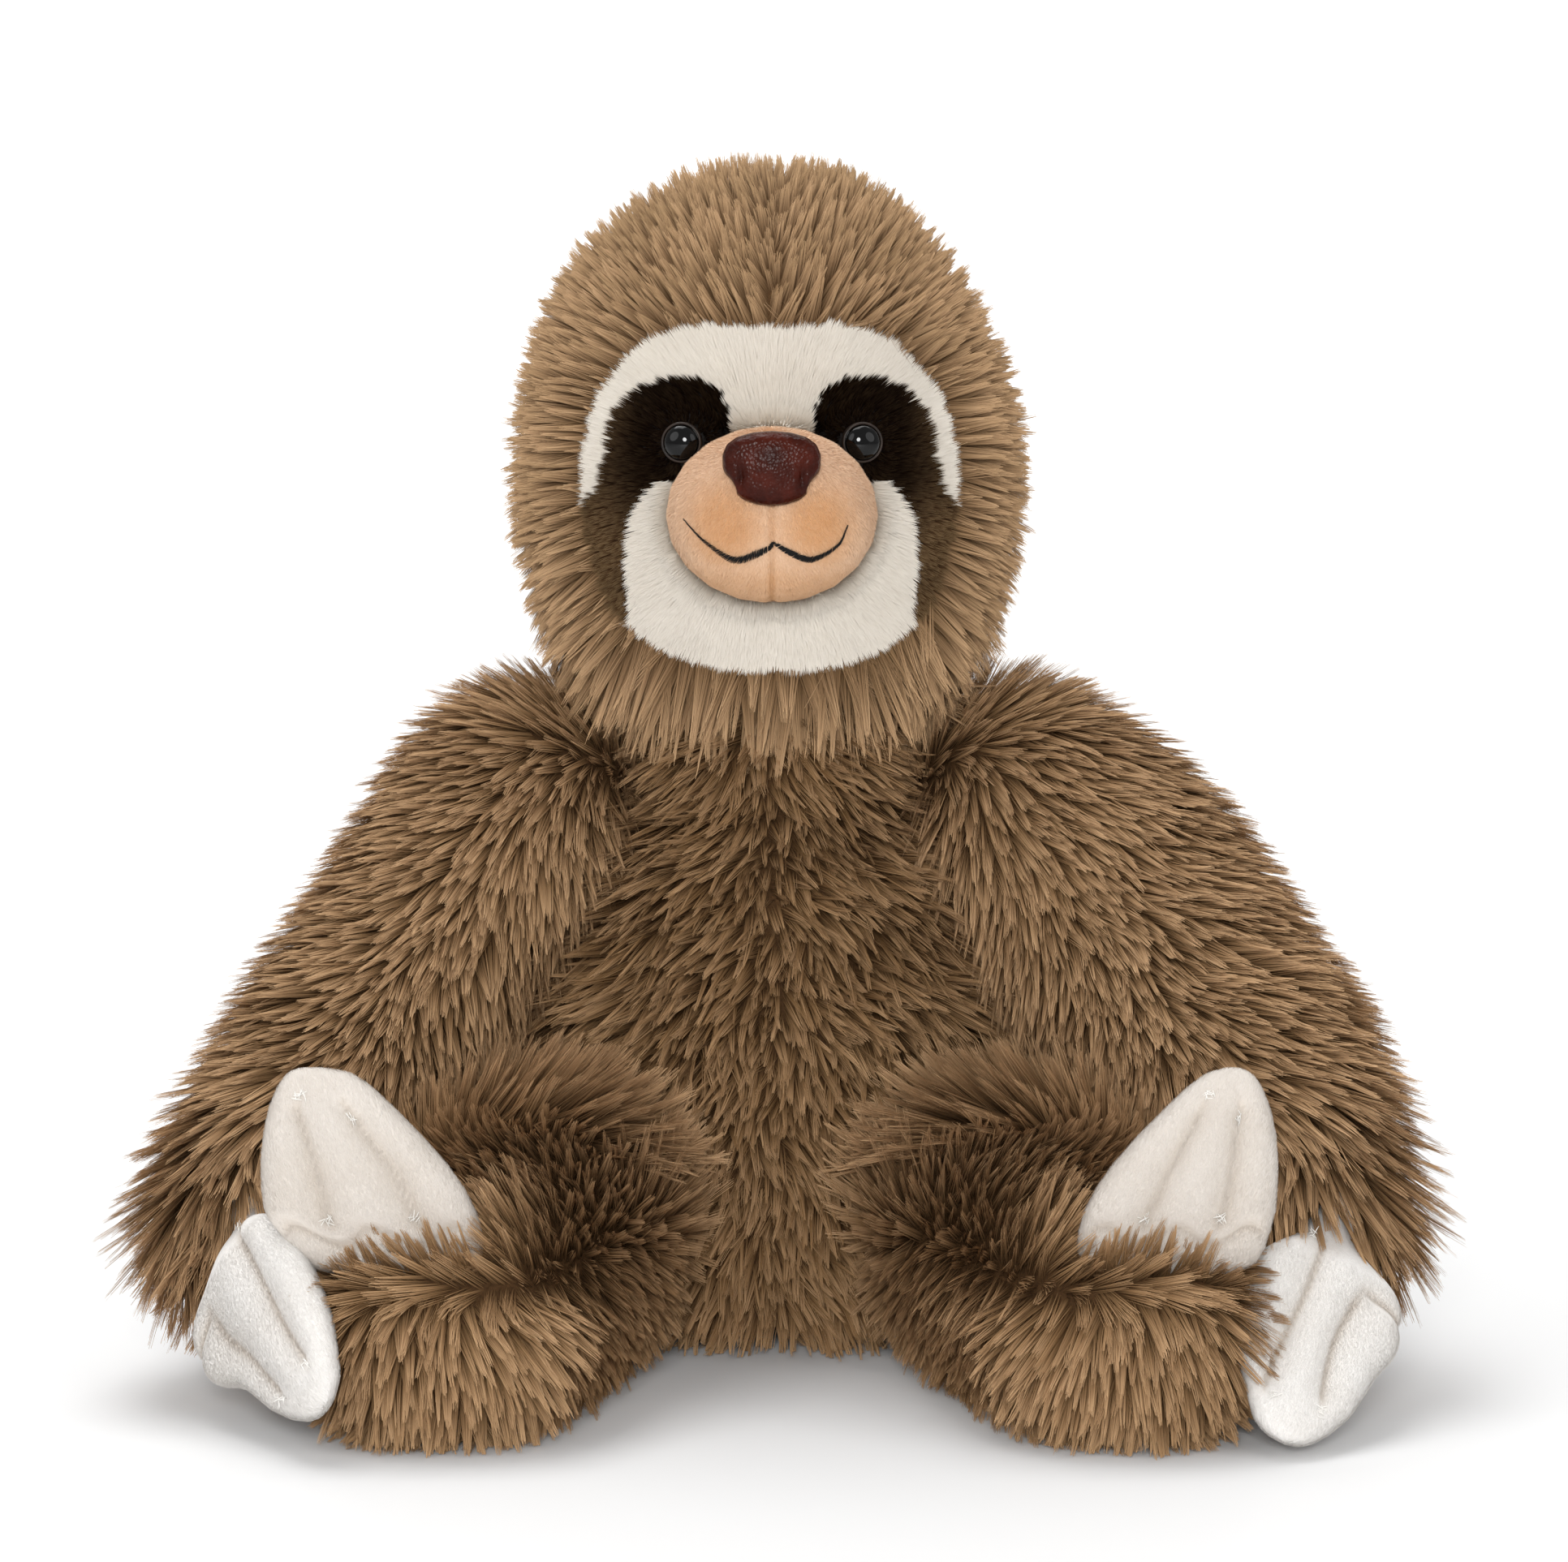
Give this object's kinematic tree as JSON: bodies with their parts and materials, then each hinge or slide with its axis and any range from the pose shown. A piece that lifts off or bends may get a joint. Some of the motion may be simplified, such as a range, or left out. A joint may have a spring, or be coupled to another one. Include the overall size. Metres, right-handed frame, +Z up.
{
  "type": "plush sloth",
  "caption": "Seated stuffed sloth with long brown fur, a white face with dark eye patches, and white hands and claws; head, arms, hands, legs and claws move.",
  "frame": {"origin": "on the ground under the middle of the seat, on the base panel's flat underside", "axes": "+Z up, -Y the way the toy faces, +X the toy's own left"},
  "size_m": [0.3592, 0.2395, 0.3517],
  "materials": {
    "body_plush": "long pile, brown",
    "head_plush": "long pile, light brown",
    "white_plush": "short pile, white",
    "dark_plush": "short pile, very dark brown",
    "muzzle_velour": "velour, tan with an orange blush",
    "white_velboa": "very short pile, white",
    "black_thread": "embroidery thread, black",
    "nose_plastic": "moulded, glossy, dark maroon",
    "eye_plastic": "moulded, glossy, black",
    "washer_plastic": "moulded, natural white",
    "stuffing": "loose polyester fibre, white"
  },
  "bodies": {
    "torso": {"torso_base_panel": "body_plush", "torso_front_panel_left": "body_plush", "torso_front_panel_right": "body_plush", "torso_back_panel_left": "body_plush", "torso_back_panel_right": "body_plush", "torso_stuffing": "stuffing"},
    "head": {"face_brow": "white_plush", "head_hood_left": "head_plush", "head_hood_right": "head_plush", "eye_patch_left": "dark_plush", "eye_patch_right": "dark_plush", "cheek_left": "white_plush", "cheek_right": "white_plush", "muzzle_left": "muzzle_velour", "muzzle_right": "muzzle_velour", "eye_left": "eye_plastic", "eye_right": "eye_plastic", "eye_washer_left": "washer_plastic", "eye_washer_right": "washer_plastic", "muzzle_stuffing": "stuffing", "head_stuffing": "stuffing", "nose": "nose_plastic", "nose_washer": "washer_plastic", "mouth_embroidery": "black_thread"},
    "arm_left": {"arm_left_front": "body_plush", "arm_left_back": "body_plush", "arm_left_stuffing": "stuffing"},
    "hand_left": {"hand_left_palm": "white_velboa", "hand_left_top": "white_velboa", "hand_left_stuffing": "stuffing"},
    "leg_left": {"leg_left_inner": "body_plush", "leg_left_outer": "body_plush", "leg_left_stuffing": "stuffing"},
    "foot_claws_left": {"foot_claws_left_front": "white_velboa", "foot_claws_left_back": "white_velboa", "foot_claws_left_stuffing": "stuffing"},
    "arm_right": {"arm_right_front": "body_plush", "arm_right_back": "body_plush", "arm_right_stuffing": "stuffing"},
    "hand_right": {"hand_right_palm": "white_velboa", "hand_right_top": "white_velboa", "hand_right_stuffing": "stuffing"},
    "leg_right": {"leg_right_inner": "body_plush", "leg_right_outer": "body_plush", "leg_right_stuffing": "stuffing"},
    "foot_claws_right": {"foot_claws_right_front": "white_velboa", "foot_claws_right_back": "white_velboa", "foot_claws_right_stuffing": "stuffing"}
  },
  "joints": [
    {"name": "neck", "type": "hinge", "parent": "torso", "child": "head", "pos_m": [0, 0.005, 0.176], "axis": [1, 0, 0], "range_deg": [-20, 15], "stiffness_Nm_per_rad": 2},
    {"name": "shoulder_left", "type": "hinge", "parent": "torso", "child": "arm_left", "pos_m": [0.074, 0, 0.162], "axis": [0, -1, 0], "range_deg": [0, 80]},
    {"name": "wrist_left", "type": "hinge", "parent": "arm_left", "child": "hand_left", "pos_m": [0.16601, -0.10031, 0.05978], "axis": [-0.8909, -0.0206, 0.4537], "range_deg": [0, 30]},
    {"name": "hip_left", "type": "hinge", "parent": "torso", "child": "leg_left", "pos_m": [0.056, -0.038, 0.04], "axis": [-0.9389, -0.3443, 0], "range_deg": [0, 20]},
    {"name": "claws_left", "type": "hinge", "parent": "leg_left", "child": "foot_claws_left", "pos_m": [0.111, -0.1412, 0.0525], "axis": [1, 0, 0], "range_deg": [0, 25], "stiffness_Nm_per_rad": 0.05},
    {"name": "shoulder_right", "type": "hinge", "parent": "torso", "child": "arm_right", "pos_m": [-0.074, 0, 0.162], "axis": [0, 1, 0], "range_deg": [0, 80]},
    {"name": "wrist_right", "type": "hinge", "parent": "arm_right", "child": "hand_right", "pos_m": [-0.1648, -0.10042, 0.05881], "axis": [-0.4264, 0.25, -0.8693], "range_deg": [0, 30]},
    {"name": "hip_right", "type": "hinge", "parent": "torso", "child": "leg_right", "pos_m": [-0.056, -0.038, 0.04], "axis": [-0.9556, 0.2946, 0], "range_deg": [0, 20]},
    {"name": "claws_right", "type": "hinge", "parent": "leg_right", "child": "foot_claws_right", "pos_m": [-0.1061, -0.1412, 0.0525], "axis": [1, 0, 0], "range_deg": [0, 25], "stiffness_Nm_per_rad": 0.05}
  ]
}
